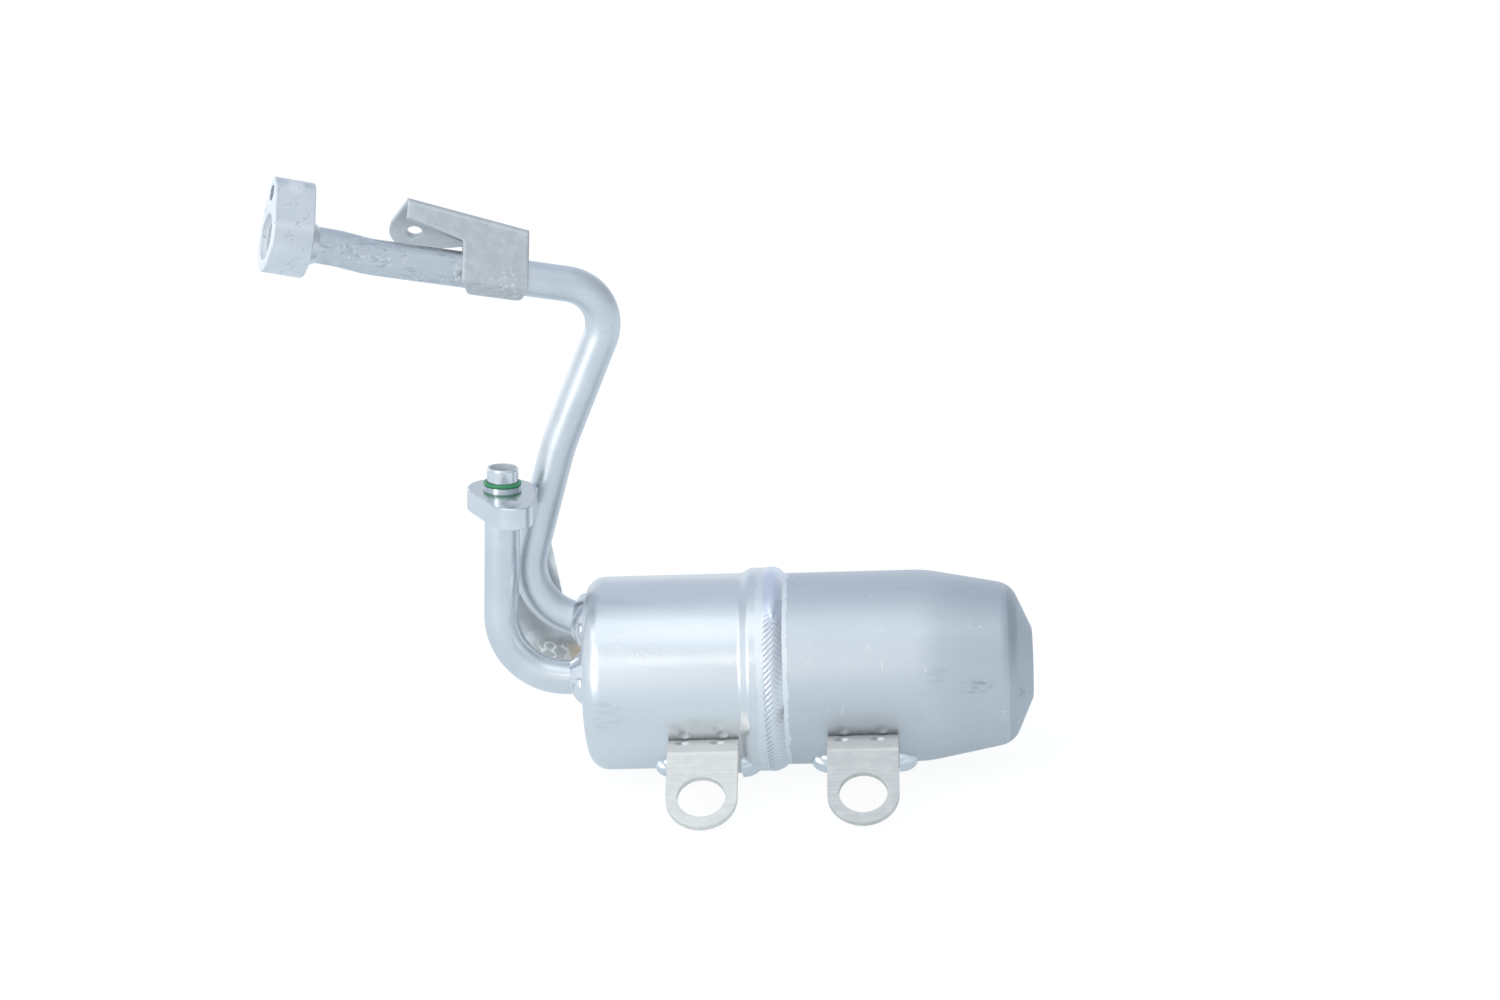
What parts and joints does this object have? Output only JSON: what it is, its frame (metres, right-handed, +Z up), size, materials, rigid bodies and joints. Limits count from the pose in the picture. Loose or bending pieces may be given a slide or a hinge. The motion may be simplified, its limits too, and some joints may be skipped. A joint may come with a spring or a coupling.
{
  "type": "receiver drier",
  "caption": "Welded aluminium receiver drier with pressed mounting lugs and bent pipes on its flat end, each with a machined block for a bolted joint.",
  "frame": {"origin": "middle of the large hole in the pipe-side mounting lug, half-way through its sheet", "axes": "+X along the tank from the flat pipe end to the domed end, +Z up, -Y towards the side the lugs reach out to"},
  "size_m": [0.3366, 0.1309, 0.2896],
  "materials": {
    "shell_aluminium": "satin, drawn, lightly scuffed",
    "tube_aluminium": "satin with darker scuffs",
    "weld_aluminium": "rippled bead",
    "block_aluminium": "machined",
    "lug_aluminium": "rolled sheet",
    "inner_aluminium": "rolled sheet",
    "bracket_metal": "dull sheet with bright cut edges",
    "brace_metal": "dark, heat-tinted, glossy",
    "green_rubber": "smooth",
    "filter_plastic": "moulded",
    "filter_mesh": "woven mesh",
    "felt": "needled felt",
    "tie_plastic": "moulded"
  },
  "bodies": {
    "root": {"pipe_end_shell": "shell_aluminium", "closed_end_shell": "shell_aluminium", "girth_weld": "weld_aluminium", "short_pipe": "tube_aluminium", "long_pipe": "tube_aluminium", "short_pipe_weld": "weld_aluminium", "long_pipe_weld": "weld_aluminium", "male_block": "block_aluminium", "male_block_braze": "weld_aluminium", "port_o_ring": "green_rubber", "female_block": "block_aluminium", "female_block_braze": "weld_aluminium", "pipe_bracket": "bracket_metal", "bracket_braze": "weld_aluminium", "pipe_side_lug": "lug_aluminium", "closed_side_lug": "lug_aluminium", "pipe_side_lug_welds": "weld_aluminium", "closed_side_lug_welds": "weld_aluminium", "brace_plate": "brace_metal", "brace_braze": "weld_aluminium", "suction_tube": "tube_aluminium", "vapour_deflector": "inner_aluminium", "oil_filter_cage": "filter_plastic", "oil_filter_screen": "filter_mesh", "tube_clip": "filter_plastic", "desiccant_bag": "felt", "bag_tie": "tie_plastic"}
  },
  "joints": []
}
